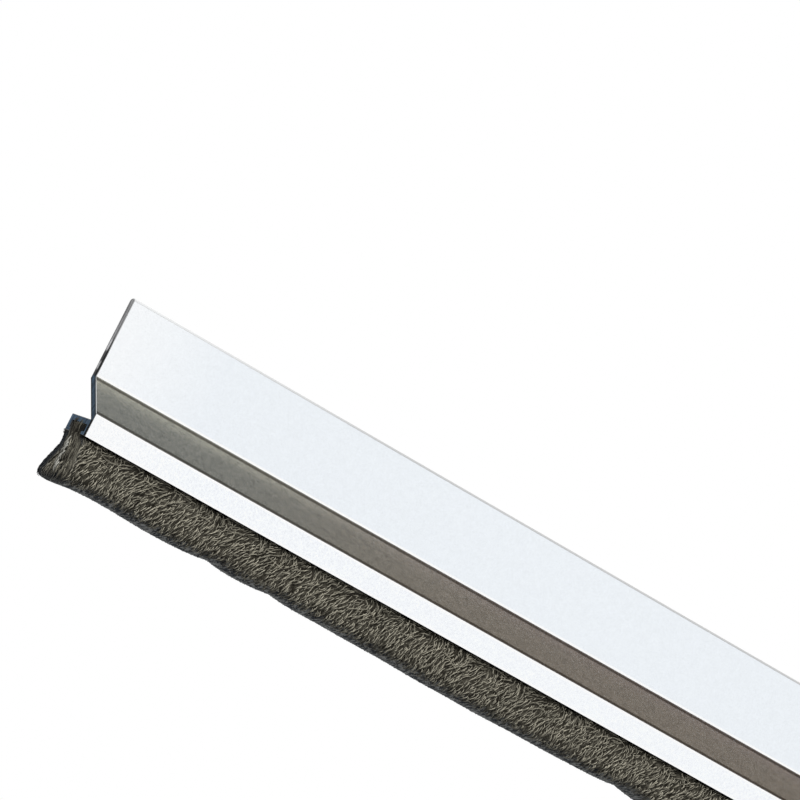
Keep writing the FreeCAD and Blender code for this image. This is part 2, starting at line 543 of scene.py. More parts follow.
def pile_ground(finish):
    """Dark ground of the pile between its strands, streaked down the drop: partly the pile's own dark fibres,
    partly painted shade in the gaps between strands.
    """
    material, graph = new_graph("pile_ground")
    streaks = graph.noise((4200.0, 4200.0, 500.0), detail=3.0, roughness=0.6)
    locks = graph.noise((420.0, 380.0, 220.0), detail=2.0)
    tone = graph.ramp(0.6 * streaks + 0.4 * locks, ((0.40, 0.0), (0.70, 0.22)))
    flank = graph.mix_colour(tone, opaque(finish.dark_colour), opaque(finish.light_colour))
    normal = graph.node("ShaderNodeNewGeometry", output="Normal")
    tilt = graph.node("ShaderNodeSeparateXYZ", inputs={"Vector": normal}, output="Z")
    facing = graph.node("ShaderNodeSeparateXYZ", inputs={"Vector": normal}, output="X")
    # Painted shade: faces turned down and the sawn ends take the foot's cooler, darker palette
    foot = graph.ramp((-1 * tilt).larger(abs(facing)), ((0.35, 0.0), (0.8, 1.0)))
    stubble = graph.noise((1300.0, 140.0, 1300.0), detail=2.0, roughness=0.6)
    cut = graph.ramp(stubble, ((0.46, 0.0), (0.58, 1.0))) * (1 - abs(facing))
    tips = graph.mix_colour(cut, opaque(finish.foot_shade_dark_colour), opaque(finish.foot_shade_light_colour))
    graph.surface({
        "Base Color": graph.mix_colour(foot, flank, tips),
        "Roughness": 0.8 + 0.1 * locks,
        "Specular IOR Level": 0.2,
        "Normal": graph.bump(streaks + locks, 0.9, 0.0003),
    })
    return material


def strand_fibre(finish):
    """Curled fibre: each strand has its own tone, and painted shade makes the foot cooler and darker."""
    material, graph = new_graph("pile_strand")
    tone = graph.node("ShaderNodeAttribute", {"attribute_name": "tones"}, output="Fac")
    foot = graph.node("ShaderNodeAttribute", {"attribute_name": "foot"}, output="Fac")
    flecks = graph.noise((1500.0, 1500.0, 1500.0), detail=2.0)
    factor = graph.ramp(tone + 0.35 * (flecks - 0.5), ((0.0, 0.0), (1.0, 1.0)))
    body = graph.mix_colour(factor, opaque(finish.dark_colour), opaque(finish.light_colour))
    tip = graph.mix_colour(factor, opaque(finish.foot_shade_dark_colour), opaque(finish.foot_shade_light_colour))
    graph.surface({
        "Base Color": graph.mix_colour(foot, body, tip),
        "Roughness": 0.55 + 0.2 * flecks,
        "Specular IOR Level": 0.35,
        "Normal": graph.bump(flecks, 0.3, 0.00005),
    })
    return material


class SmoothNoise:
    """Seeded value noise on a plane, between -1 and 1."""

    def __init__(self, seed, cells=1024, rows=64):
        self.values = np.random.default_rng(seed).uniform(-1, 1, (cells, rows))

    def at(self, u, v):
        cells, rows = self.values.shape
        i = np.floor(u).astype(int)
        j = np.floor(v).astype(int)
        blend_u = (u - i) ** 2 * (3 - 2 * (u - i))
        blend_v = (v - j) ** 2 * (3 - 2 * (v - j))
        near = self.values[i % cells, j % rows] * (1 - blend_u)
        near += self.values[(i + 1) % cells, j % rows] * blend_u
        far = self.values[i % cells, (j + 1) % rows] * (1 - blend_u)
        far += self.values[(i + 1) % cells, (j + 1) % rows] * blend_u
        return near * (1 - blend_v) + far * blend_v


class PileForm:
    """The pile's outer surface, by the place x and the share r of the way round its section.

    r is 0 at the front shoulder, 0.5 at the foot and 1 at the back shoulder.
    """

    WAVES = ((0.1255, -1.26, 1.0), (0.080, -1.79, 0.93), (0.021, -0.45, 0.12))
    FIRST_NOTCHES = ((0.0468, 1.21), (0.0658, 0.90), (0.1772, 1.17))

    def __init__(self, shape):
        low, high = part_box(CARRIER)
        pile_low, pile_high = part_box(PILE)
        self.shape = shape
        self.left = pile_low.x
        self.right = pile_high.x
        self.neck_top = pile_high.z
        self.centre_y = (low.y + high.y) / 2
        self.shoulder_z = low.z - shape.shoulder_gap
        self.height = shape.drop - shape.shoulder_gap
        shares = np.sin(np.linspace(0, math.pi / 2, 160))
        flank = shape.shoulder_width + (shape.foot_width - shape.shoulder_width) * shares
        self.flank_shares = shares
        self.half_widths = flank / 2 * np.sqrt(1 - shares ** shape.rounding)
        self.shares = np.concatenate([shares, shares[-2::-1]])
        self.sides = np.concatenate([-self.half_widths, self.half_widths[-2::-1]])
        steps = np.hypot(np.diff(self.sides), np.diff(self.shares) * self.height)
        self.round_length = steps.sum()
        self.round = np.concatenate([[0], np.cumsum(steps)]) / self.round_length
        rng = np.random.default_rng(SEED + 5)
        place = self.FIRST_NOTCHES[-1][0]
        self.notches = list(self.FIRST_NOTCHES)
        while place < self.right - self.left:
            place += rng.uniform(0.018, 0.075)
            self.notches.append((place, rng.uniform(0.4, 1.2)))

    def from_end(self, x):
        return np.maximum(np.minimum(x - self.left, self.right - x), 0)

    def loosened(self, x):
        """1 at a sawn end, dying away along the strip."""
        return np.exp(-self.from_end(x) / self.shape.fan_length)

    def back_of_end(self, x):
        """1 at a sawn end, where the pile's back lies smooth, and 0 a little way along."""
        return np.exp(-(self.from_end(x) / 0.004) ** 2)

    def height_at(self, x):
        """Height of the pile at the place x, with its waves, notches and loose ends."""
        along = x - self.left
        waves = sum(size * np.sin(math.tau * along / length + phase) for length, phase, size in self.WAVES)
        notches = sum(
            size * np.exp(-np.abs(along - place) / self.shape.notch_length) for place, size in self.notches)
        extra = self.shape.wave_height * waves - self.shape.notch_height * notches
        corner = self.shape.corner_sag * np.exp(-(self.from_end(x) / 0.006) ** 2)
        return self.height + extra + self.shape.end_sag * self.loosened(x) + corner

    def splay(self, x, share, side):
        """How far the section is drawn to the back at a sawn end."""
        weight = np.clip(0.5 + side / 0.005, 0, 1)
        bulge = self.shape.end_bulge * np.exp(-(share / 0.08) ** 2)
        pinch = self.shape.end_pinch * np.exp(-((share - 0.3) / 0.15) ** 2)
        reach = self.shape.fan_reach * share ** 2.4 + bulge - pinch
        return reach * weight * self.loosened(x)

    def section(self, x, r):
        share = np.interp(r, self.round, self.shares)
        side = np.interp(r, self.round, self.sides)
        y = self.centre_y + side + self.splay(x, share, side)
        at_back = self.back_of_end(x) * np.clip(side / 0.005, 0, 1)
        closed = 1.25 * self.shape.shoulder_gap * self.back_of_end(x) * (side > 0) * (1 - share)
        z = self.shoulder_z - self.height_at(x) * share + closed + self.shape.corner_lift * at_back * share ** 2
        return y, z

    def place(self, x, r, lift):
        """Points on the surface, lifted off it along its outward normal, and that normal."""
        step = 0.004
        y, z = self.section(x, r)
        y_before, z_before = self.section(x, np.clip(r - step, 0, 1))
        y_after, z_after = self.section(x, np.clip(r + step, 0, 1))
        along_y = y_after - y_before
        along_z = z_after - z_before
        size = np.hypot(along_y, along_z)
        normal = np.stack([np.zeros_like(x), along_z / size, -along_y / size], -1)
        point = np.stack([x, y, z], -1) + normal * np.asarray(lift)[..., None]
        return point, normal

    def kept_in(self, x):
        """Bends what would run past a sawn end, so that it lies along the end."""
        slack = 0.0006
        past_left = np.maximum(self.left + slack - x, 0)
        past_right = np.maximum(x - self.right + slack, 0)
        bent = slack * np.tanh(past_left / slack)
        bent_right = slack * np.tanh(past_right / slack)
        return x + past_left - bent - past_right + bent_right


def make_object(name, mesh, material, slot_name, *nodes):
    """Adds a mesh to the strip as a piece that rides on the root body."""
    piece = bpy.data.objects.new(name, mesh)
    bpy.context.scene.collection.objects.link(piece)
    mesh.materials.append(material)
    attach(piece, "root")
    if nodes:
        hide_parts(*nodes)
    return piece


def rounded_outline(corners, steps=8):
    """Closed outline through (y, z, radius) corners, each rounded by its radius."""
    points = np.array([corner[:2] for corner in corners])
    outline = []
    for i, (_, _, radius) in enumerate(corners):
        corner = points[i]
        if radius == 0:
            outline.append(corner)
            continue
        to_last = points[i - 1] - corner
        to_next = points[(i + 1) % len(points)] - corner
        to_last /= np.linalg.norm(to_last)
        to_next /= np.linalg.norm(to_next)
        half_angle = math.acos(np.clip(to_last @ to_next, -1, 1)) / 2
        bisector = (to_last + to_next) / np.linalg.norm(to_last + to_next)
        centre = corner + bisector * radius / math.sin(half_angle)
        reach = radius / math.tan(half_angle)
        first = corner + to_last * reach - centre
        last = corner + to_next * reach - centre
        for share in np.linspace(0, 1, steps + 1):
            spoke = first * (1 - share) + last * share
            outline.append(centre + spoke / np.linalg.norm(spoke) * radius)
    return np.array(outline)


def carrier_corners(shape):
    """Section of the carrier: flange, sloping web, front face and the channel behind it."""
    low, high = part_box(CARRIER)
    front, back, bottom, top = low.y, high.y, low.z, high.z
    flange_front = back - shape.flange_wall
    fold = top - shape.flange_height
    face_top = fold - (flange_front - front)
    channel_top = face_top - shape.set_down
    ceiling = channel_top - shape.channel_wall
    lip_top = bottom + shape.lip_thickness
    inner_front = front + shape.channel_wall
    inner_back = back - shape.channel_wall
    slot_front = inner_front + shape.lip_reach
    slot_back = inner_back - shape.lip_reach
    web_shift = shape.flange_wall * math.sqrt(2)
    web_back = flange_front - (fold - channel_top) + web_shift
    flange_foot = fold - (flange_front - back) - web_shift
    small = shape.edge_break
    return [
        (flange_front, top, shape.top_front_radius),
        (flange_front, fold, shape.inner_fold_radius),
        (front, face_top, shape.outer_fold_radius),
        (front, bottom, small),
        (slot_front, bottom, small),
        (slot_front, lip_top, 0),
        (inner_front, lip_top, 0),
        (inner_front, ceiling, 0),
        (inner_back, ceiling, 0),
        (inner_back, lip_top, 0),
        (slot_back, lip_top, 0),
        (slot_back, bottom, small),
        (back, bottom, small),
        (back, channel_top, small),
        (web_back, channel_top, small),
        (back, flange_foot, shape.outer_fold_radius),
        (back, top, shape.top_back_radius),
    ]


def inset_corners(corners, amount):
    """The (y, z, radius) corners moved into the metal, with radii that suit the smaller outline."""
    points = np.array([corner[:2] for corner in corners])
    before = points - np.roll(points, 1, 0)
    before /= np.linalg.norm(before, axis=1)[:, None]
    after = np.roll(before, -1, 0)
    turn = before[:, 0] * after[:, 1] - before[:, 1] * after[:, 0]
    inward = before + after
    inward = np.stack([-inward[:, 1], inward[:, 0]], 1) / (1 + (before * after).sum(1))[:, None]
    moved = points + amount * inward
    radii = [
        max(radius - amount * np.sign(turned), 0.000005) if radius else 0
        for (_, _, radius), turned in zip(corners, turn)]
    return [(y, z, radius) for (y, z), radius in zip(moved, radii)]


def carrier_mesh(shape):
    """The extrusion with its rounded folds, and a fine bevel round each sawn end."""
    corners = carrier_corners(shape)
    outline = rounded_outline(corners)
    trimmed = rounded_outline(inset_corners(corners, shape.end_break))
    low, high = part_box(CARRIER)
    stations = (
        (low.x, trimmed), (low.x + shape.end_break, outline),
        (high.x - shape.end_break, outline), (high.x, trimmed))
    size = len(outline)
    vertices = [(x, y, z) for x, section in stations for y, z in section]
    faces = []
    for i in range(len(stations) - 1):
        for k in range(size):
            after_k = (k + 1) % size
            faces.append((i * size + k, (i + 1) * size + k, (i + 1) * size + after_k, i * size + after_k))
    faces.append(tuple(range(size)))
    faces.append(tuple(range(len(vertices) - size, len(vertices)))[::-1])
    mesh = bpy.data.meshes.new("carrier")
    mesh.from_pydata(vertices, [], faces)
    mesh.polygons.foreach_set("use_smooth", [True] * len(mesh.polygons))
    mesh.set_sharp_from_angle(angle=math.radians(35))
    return mesh


def ground_mesh(form):
    """Closed body of the pile under its strands: rings across the strip, joined along it."""
    sunk = 0.0004
    foot_sunk = 0.00012
    ring_spacing = 0.0018
    lumps = SmoothNoise(SEED)
    rounds = form.round[np.linspace(0, len(form.round) - 1, 49).astype(int)]
    inset = 0.00015
    xs = np.arange(form.left + inset, form.right - inset, ring_spacing)
    x, r = np.meshgrid(xs, rounds, indexing="ij")
    at_foot = np.clip((np.minimum(r, 1 - r) - 0.34) / 0.08, 0, 1)
    lift = -sunk + (sunk - foot_sunk) * at_foot
    lift = lift + 0.00014 * (1 - at_foot) * lumps.at(x / 0.0013 + 700, r * 19) * np.sin(math.pi * r)
    lift = lift * (1 - form.back_of_end(x) * (r > 0.5))
    flank, _ = form.place(x, r, lift)
    neck = form.shape.neck_width / 2
    sides = []
    for side in (-neck, neck):
        top = np.stack([xs, np.full_like(xs, form.centre_y + side), np.full_like(xs, form.neck_top)], -1)
        low = top.copy()
        low[:, 2] = form.shoulder_z
        sides.append((top, low))
    (front_top, front_low), (back_top, back_low) = sides
    rings = np.concatenate([
        front_top[:, None], front_low[:, None], flank, back_low[:, None], back_top[:, None]], 1)
    count, size, _ = rings.shape
    faces = []
    for i in range(count - 1):
        for k in range(size):
            after = (k + 1) % size
            faces.append((i * size + k, i * size + after, (i + 1) * size + after, (i + 1) * size + k))
    faces.append(tuple(range(size))[::-1])
    faces.append(tuple(range((count - 1) * size, count * size)))
    mesh = bpy.data.meshes.new("pile_ground")
    mesh.from_pydata(rings.reshape(-1, 3).tolist(), [], faces)
    mesh.polygons.foreach_set("use_smooth", [True] * len(mesh.polygons))
    mesh.validate()
    return mesh


class Strands:
    """Paths of many strands: points, outward normals, radii and tones."""

    def __init__(self, points, normals, radii, tones, foot):
        self.points = points
        self.normals = normals
        self.radii = radii
        self.tones = np.broadcast_to(tones, radii.shape)
        self.foot = np.broadcast_to(foot, radii.shape)


def strand_radii(finish, rng, count, steps):
    """Each strand swells a little after its root and thins to its tip."""
    thickness = finish.width / 2 * rng.uniform(0.75, 1.15, (count, 1))
    return thickness * (1 - 0.55 * np.linspace(0, 1, steps) ** 2)


def shoulder_shade(depth):
    """Strands are darker up against the carrier and down by the foot."""
    return 0.42 + 0.58 * np.clip(depth / 0.11, 0, 1) - 0.15 * np.clip((depth - 0.225) / 0.09, 0, 1)


def spread_evenly(rng, count, stretch, width):
    """Places in staggered rows, each shaken a little: x in the stretch, and a share of the width."""
    rows = max(1, round(math.sqrt(count * width / (stretch[1] - stretch[0]))))
    columns = count // rows
    row, column = np.divmod(np.arange(rows * columns), columns)
    shake = rng.uniform(-0.5, 0.5, (2, rows * columns))
    along = (column + 0.5 * (row % 2) + 0.5 + shake[0]) / columns % 1
    across = (row + 0.5 + shake[1]) / rows
    return (stretch[0] + (stretch[1] - stretch[0]) * along)[:, None], across[:, None]


# Each layer of flank strands: mean tone, spread of the tones, rise off the ground and its spread
LAYERS = {
    "under": (0.12, 0.10, -0.00008, 0.00004),
    "dark": (0.11, 0.12, 0.00010, 0.00005),
    "pale": (0.66, 0.15, 0.00013, 0.00005),
}


def flank_strands(form, finish, rng, count, stretch, layer, front):
    """Crinkled strands of one layer that lie down one flank."""
    steps = 4
    t = np.linspace(0, 1, steps)
    mean_tone, tone_spread, mean_rise, rise_spread = LAYERS[layer]
    x0, even = spread_evenly(rng, count, stretch, 0.35 * form.round_length)
    count = len(x0)
    mean_length = finish.under_length if layer == "under" else finish.over_length
    length = mean_length * rng.uniform(0.65, 1.35, (count, 1))
    depth = -0.03 + (0.415 - length / form.round_length) * even
    place = (depth * 5 + 30 * front, depth * 16 + 30 * front)
    swirl = SmoothNoise(SEED + 1).at(x0 / 0.0085 + 700, place[0])
    tuft = SmoothNoise(SEED + 2).at(x0 / 0.0017 + 700, place[1])
    low_down = np.clip((depth + length / form.round_length / 2 - 0.20) / 0.12, 0, 1)
    lean = finish.lean + (finish.foot_lean - finish.lean) * low_down
    lean = lean + math.radians(11) * swirl + math.radians(11) * rng.normal(0, 1, (count, 1))
    near_shoulder = np.clip(1 - depth / 0.10, 0, 1) * (rng.random((count, 1)) < 0.7)
    way = np.sign(SmoothNoise(SEED + 4).at(x0 / 0.003 + 700, 30 * front))
    lean = lean + math.radians(50) * near_shoulder * way
    curl = rng.uniform(0.00002, 0.00008, (count, 1))
    phase = rng.uniform(0, 2 * math.pi, (count, 1))
    turns = rng.uniform(0.5, 1.0, (count, 1))
    sway = curl * np.sin(2 * math.pi * turns * t + phase)
    down = depth + (length * np.cos(lean) * t + sway * np.sin(lean)) / form.round_length
    x = form.kept_in(x0 - length * np.sin(lean) * t + sway * np.cos(lean))
    r = np.clip(down if front else 1 - down, 0.0, 1.0)
    rise = mean_rise + 0.00003 * tuft + rise_spread * rng.normal(0, 1, (count, 1))
    near_top = np.clip((0.09 - depth) / 0.06, 0, 1)
    tones = mean_tone + tone_spread * rng.normal(0, 1, (count, 1))
    tones = np.clip(tones + 0.45 * near_top * (tones - 0.38), 0.0, 1.25)
    sunk = -0.00030
    arch = np.sin(math.pi * np.minimum(t * 1.1, 1) ** 0.8)
    tip_dip = rng.uniform(0.2, 0.9, (count, 1))
    lift = sunk + (rise - sunk) * arch - sunk * (1 - tip_dip) * t ** 2
    at_back_end = form.back_of_end(x0) * (not front)
    lift = np.where(lift > 0, lift * (1 - 0.9 * at_back_end), lift)
    points, normals = form.place(x, r, lift)
    inner = np.minimum(r, 1 - r)
    # Painted shade: strands near the foot and at the back of a sawn end take the foot's cooler, darker palette
    foot = np.clip((inner - 0.34) / 0.06, 0, 1) * 0.8
    foot = np.maximum(foot, at_back_end)
    # Painted shade: more strands turn dark towards the foot, and strands at the back of a sawn end are nearly
    # black
    painted_foot_shade = rng.random((count, 1)) < 0.40 * np.clip((inner[:, 1:2] - 0.215) / 0.10, 0, 1)
    tones = tones * shoulder_shade(inner) * (1 - 0.95 * at_back_end) * (1 - 0.8 * painted_foot_shade)
    return Strands(points, normals, strand_radii(finish, rng, count, steps), tones, foot)


def foot_strands(form, finish, rng, count, stretch):
    """Cut tips that stand out of the foot like stubble."""
    steps = 3
    t = np.linspace(0, 1, steps)
    x0, even = spread_evenly(rng, count, stretch, 0.40 * form.round_length)
    count = len(x0)
    r0 = 0.30 + 0.40 * even
    swirl = SmoothNoise(SEED + 3).at(x0 / 0.005 + 700, r0 * 14)
    length = rng.uniform(0.0012, 0.0021, (count, 1))
    lean = math.radians(34) + math.radians(25) * swirl + math.radians(18) * rng.normal(0, 1, (count, 1))
    lean = np.clip(lean, -1.2, 1.2)
    proud = -0.00006 + 0.00002 * rng.normal(0, 1, (count, 1)) - 0.00004 * form.back_of_end(x0)
    lift = proud - length * np.cos(lean) * (1 - t)
    x = form.kept_in(x0 - length * np.sin(lean) * t)
    spread = rng.uniform(-0.6, 0.6, (count, 1))
    r = np.clip(r0 + spread * length / form.round_length * t, 0.02, 0.98)
    points, normals = form.place(x, r, lift)
    sideways = np.zeros_like(normals)
    sideways[..., 0] = 1.0
    pale = rng.random((count, 1)) < 0.34
    tones = np.where(pale, 1.1, 0.1) + 0.12 * rng.normal(0, 1, (count, 1))
    # Painted shade: tips low on the foot take its cooler, darker palette
    foot = np.clip((np.minimum(r, 1 - r) - 0.33) / 0.10, 0, 1)
    radii = np.broadcast_to(0.5 * finish.width * rng.uniform(0.7, 1.0, (count, 1)), r.shape)
    return Strands(points, sideways, radii, tones, foot)


def stray_strands(form, finish, rng, count, stretch):
    """A few long pale strands high on the flanks, lying along the strip."""
    steps = 6
    t = np.linspace(0, 1, steps)
    x0 = np.clip(rng.uniform(*stretch, (count, 1)), form.left + 0.008, form.right - 0.008)
    front = rng.random((count, 1)) < 0.5
    depth = 0.03 + 0.14 * rng.random((count, 1)) ** 1.6
    length = rng.uniform(0.003, 0.0075, (count, 1))
    slope = math.radians(78) + math.radians(13) * rng.normal(0, 1, (count, 1))
    bow = rng.uniform(-0.0009, 0.0009, (count, 1)) * np.sin(math.pi * t)
    down = depth + (length * np.cos(slope) * t + bow) / form.round_length
    r = np.clip(np.where(front, down, 1 - down), 0, 1)
    x = form.kept_in(x0 + length * np.sin(slope) * rng.choice((-1, 1), (count, 1)) * (t - 0.5))
    lift = np.broadcast_to(0.00010 + 0.00030 * np.sin(math.pi * t), x.shape)
    points, normals = form.place(x, r, lift)
    tones = rng.uniform(0.6, 1.1, (count, 1)) * shoulder_shade(depth)
    return Strands(points, normals, 0.7 * strand_radii(finish, rng, count, steps), tones, 0)


def end_strands(form, finish, rng, count, end_x, outward):
    """Strands on a sawn end, fanning out from the slot to the foot."""
    steps = 5
    t = np.linspace(0, 1, steps)
    across = 0.93 - 1.93 * rng.random((count, 1)) ** 0.85
    low_top = rng.uniform(0, 0.74, (count, 1))
    from_slot = (np.abs(across) < 0.9) & (rng.random((count, 1)) < 0.35)
    top = np.where(from_slot, rng.uniform(-0.33, 0.05, (count, 1)), low_top)
    share = np.clip(top + rng.uniform(0.16, 0.30, (count, 1)) * t, -0.33, 0.985)
    inside = np.clip(share, 0, 1)
    half = np.interp(inside, form.flank_shares, form.half_widths)
    pinch = np.clip(1 - inside / 0.12, 0, 1)
    above = np.clip(-share / 0.10, 0, 1)
    half = half * (1 - pinch) + (form.shape.neck_width / 2 + 0.001 * above) * pinch
    side = across * half * 0.97
    sway = 0.00022 * np.sin(math.tau * (t + rng.random((count, 1))))
    end_xs = np.full_like(share, end_x)
    y = form.centre_y + side + form.splay(end_xs, inside, side) + sway * (1 - np.abs(across) ** 3)
    z = form.shoulder_z - form.height_at(end_xs) * share
    depth = rng.uniform(-0.0003, 0.0003, (count, 1))
    loose = 1 - 0.92 * np.clip(np.abs(across) / 0.85, 0, 1) ** 2
    x = end_x + outward * loose * (depth + 0.0003 * inside + 0.0003 * np.sin(math.pi * t))
    points = np.stack([x, y, z], -1)
    normals = np.zeros_like(points)
    normals[..., 0] = outward
    tones = np.clip(0.22 + 0.22 * rng.normal(0, 1, (count, 1)), 0, 1.1)
    # Painted shade: end strands are darker near the slot and towards the back, and their back and bottom take
    # the foot's cooler, darker palette
    tones = tones * np.clip(0.5 + share / 0.4, 0.35, 1) * (1 - 0.9 * np.clip((across - 0.4) / 0.35, 0, 1))
    foot = np.clip((across - 0.35) / 0.3, 0, 1) + np.clip((inside - 0.85) / 0.15, 0, 1)
    radii = 0.85 * strand_radii(finish, rng, count, steps)
    return Strands(points, normals, radii, tones, np.clip(foot, 0, 1))


def end_wisps(form, finish, rng, count, end_x, outward):
    """A few pale wisps that hang straight down from the slot at a sawn end."""
    steps = 7
    t = np.linspace(0, 1, steps)
    side = rng.uniform(-0.0002, 0.0011, (count, 1))
    top = np.linspace(0.06, 0.66, count)[:, None]
    share = top + rng.uniform(0.13, 0.24, (count, 1)) * t
    wiggle = 0.0001 * np.sin(math.tau * (rng.uniform(0.5, 1.0, (count, 1)) * t + rng.random((count, 1))))
    end_xs = np.full_like(share, end_x)
    y = form.centre_y + side + wiggle
    z = form.shoulder_z - form.height_at(end_xs) * share
    x = end_xs + outward * (0.0004 + 0.0004 * np.sin(math.pi * t))
    points = np.stack([x, y, z], -1)
    normals = np.zeros_like(points)
    normals[..., 0] = outward
    radii = 1.8 * strand_radii(finish, rng, count, steps)
    # The wisps take part of the foot's cooler palette of painted shade, for a bluish tint
    return Strands(points, normals, radii, rng.uniform(0.7, 1.05, (count, 1)), 0.6)


def tube_parts(strands, first_vertex):
    """Vertices, corner indices and corner totals of closed three-sided strands."""
    sides = 3
    points = strands.points
    count, steps, _ = points.shape
    tangent = np.gradient(points, axis=1)
    tangent /= np.linalg.norm(tangent, axis=2, keepdims=True)
    across = np.cross(tangent, strands.normals)
    across /= np.linalg.norm(across, axis=2, keepdims=True)
    outward = np.cross(across, tangent)
    rings = []
    for k in range(sides):
        angle = math.tau * k / sides
        direction = math.cos(angle) * outward + math.sin(angle) * across
        rings.append(points + strands.radii[..., None] * direction)
    vertices = np.stack(rings, 2).reshape(-1, 3)
    first = (first_vertex + np.arange(count) * steps * sides)[:, None, None]
    step = (np.arange(steps - 1) * sides)[None, :, None]
    side = np.arange(sides)[None, None, :]
    after = (side + 1) % sides
    start = first + step
    quads = np.stack([start + side, start + sides + side, start + sides + after, start + after], -1)
    root_caps = first[:, 0] + np.array([0, 1, 2])
    tip_caps = first[:, 0] + (steps - 1) * sides + np.array([2, 1, 0])
    corners = np.concatenate([quads.ravel(), root_caps.ravel(), tip_caps.ravel()])
    totals = np.concatenate([np.full(quads.size // 4, 4), np.full(2 * count, 3)])
    return vertices, corners, totals


def strand_mesh(name, kinds):
    """One mesh of closed strands of several kinds, with their tones kept on its points."""
    sides = 3
    vertices, corners, totals = [], [], []
    first_vertex = 0
    for strands in kinds:
        parts = tube_parts(strands, first_vertex)
        vertices.append(parts[0])
        corners.append(parts[1])
        totals.append(parts[2])
        first_vertex += len(parts[0])
    vertices, corners, totals = (np.concatenate(part) for part in (vertices, corners, totals))
    starts = np.concatenate([[0], np.cumsum(totals)[:-1]])
    mesh = bpy.data.meshes.new(name)
    mesh.vertices.add(len(vertices))
    mesh.vertices.foreach_set("co", vertices.astype(np.float32).ravel())
    mesh.loops.add(len(corners))
    mesh.loops.foreach_set("vertex_index", corners.astype(np.int32))
    mesh.polygons.add(len(totals))
    mesh.polygons.foreach_set("loop_start", starts.astype(np.int32))
    mesh.polygons.foreach_set("loop_total", totals.astype(np.int32))
    mesh.polygons.foreach_set("use_smooth", np.ones(len(totals), bool))
    for attribute in ("tones", "foot"):
        values = np.concatenate([getattr(strands, attribute).ravel() for strands in kinds])
        made = mesh.attributes.new(attribute, "FLOAT", "POINT")
        made.data.foreach_set("value", np.repeat(values, sides).astype(np.float32))
    mesh.update(calc_edges=True)
    mesh.validate()
    return mesh


class DRAUGHT_OT_finish_carrier(bpy.types.Operator):
    """Gives the extruded carrier its anodised faces and sawn ends"""

    bl_idname = "draught.finish_carrier"
    bl_label = "Finish Carrier"

    def execute(self, context):
        settings = context.scene.draught_strip
        mesh = carrier_mesh(settings.carrier)
        carrier = make_object("carrier", mesh, aluminium(settings.metal, settings.carrier), "anodised_aluminium", CARRIER)
        even = carrier.modifiers.new("even_normals", "WEIGHTED_NORMAL")
        even.keep_sharp = True
        return {"FINISHED"}


class DRAUGHT_OT_finish_backing(bpy.types.Operator):
    """Gives the ribbon in the channel its weave"""

    bl_idname = "draught.finish_backing"
    bl_label = "Finish Backing"

    def execute(self, context):
        wear(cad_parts[BACKING], ribbon_weave())
        return {"FINISHED"}


class DRAUGHT_OT_make_pile_ground(bpy.types.Operator):
    """Makes the pile's dark body under the strands"""

    bl_idname = "draught.make_pile_ground"
    bl_label = "Make Pile Ground"

    def execute(self, context):
        settings = context.scene.draught_strip
        mesh = ground_mesh(PileForm(settings.pile))
        make_object("pile_ground", mesh, pile_ground(settings.strands), "pile_fibre", PILE)
        return {"FINISHED"}


class DRAUGHT_OT_make_pile_strands(bpy.types.Operator):
    """Covers the pile with curled strands, lot by lot along the strip"""

    bl_idname = "draught.make_pile_strands"
    bl_label = "Make Pile Strands"

    def execute(self, context):
        settings = context.scene.draught_strip
        finish = settings.strands
        form = PileForm(settings.pile)
        material = strand_fibre(finish)
        lot_length = (form.right - form.left) / finish.lots
        for lot in range(finish.lots):
            rng = np.random.default_rng(SEED + 10 + lot)
            start = form.left + lot * lot_length
            stretch = (start, start + lot_length)
            kinds = [
                foot_strands(form, finish, rng, finish.foot_count, stretch),
                stray_strands(form, finish, rng, finish.stray_count, stretch),
            ]
            for layer in LAYERS:
                total = getattr(finish, f"{layer}_count")
                for front, share in ((True, finish.front_share), (False, 1 - finish.front_share)):
                    kinds.append(flank_strands(form, finish, rng, round(share * total), stretch, layer, front))
            if lot == 0:
                kinds.append(end_strands(form, finish, rng, finish.end_count, form.left, -1))
                kinds.append(end_wisps(form, finish, rng, finish.wisp_count, form.left, -1))
            if lot == finish.lots - 1:
                kinds.append(end_strands(form, finish, rng, finish.end_count, form.right, 1))
                kinds.append(end_wisps(form, finish, rng, finish.wisp_count, form.right, 1))
            name = f"pile_strands_{lot + 1}"
            make_object(name, strand_mesh(name, kinds), material, "pile_fibre", PILE)
        return {"FINISHED"}


def plane_mesh(name, size_x, size_y):
    mesh = bpy.data.meshes.new(name)
    half_x = size_x / 2
    half_y = size_y / 2
    corners = [(-half_x, -half_y, 0), (half_x, -half_y, 0), (half_x, half_y, 0), (-half_x, half_y, 0)]
    mesh.from_pydata(corners, [], [(0, 1, 2, 3)])
    return mesh


def seen_rays(graph):
    """1 for camera, glossy and transmission rays, 0 for the rest."""
    camera = graph.node("ShaderNodeLightPath", output="Is Camera Ray")
    glossy = graph.node("ShaderNodeLightPath", output="Is Glossy Ray")
    through = graph.node("ShaderNodeLightPath", output="Is Transmission Ray")
    return camera.larger(glossy).larger(through)


def floor_material(studio):
    """Pale floor: what is seen is white and keeps the shadow, and from below it is clear."""
    material, graph = new_graph("pale_floor")
    grain = graph.noise((30.0, 30.0, 30.0), detail=2.0)
    shade = graph.node(
        "ShaderNodeHueSaturation", inputs={"Value": 0.99 + 0.02 * grain, "Color": opaque(studio.floor_colour)})
    dim = graph.mix_colour(seen_rays(graph), (0.25, 0.25, 0.25, 1.0), shade)
    matt = graph.node("ShaderNodeBsdfDiffuse", inputs={"Color": dim})
    clear = graph.node("ShaderNodeBsdfTransparent")
    below = graph.node("ShaderNodeNewGeometry", output="Backfacing")
    mixed = graph.node("ShaderNodeMixShader", inputs={0: below, 1: matt, 2: clear})
    graph.node("ShaderNodeOutputMaterial", inputs={"Surface": mixed})
    return material


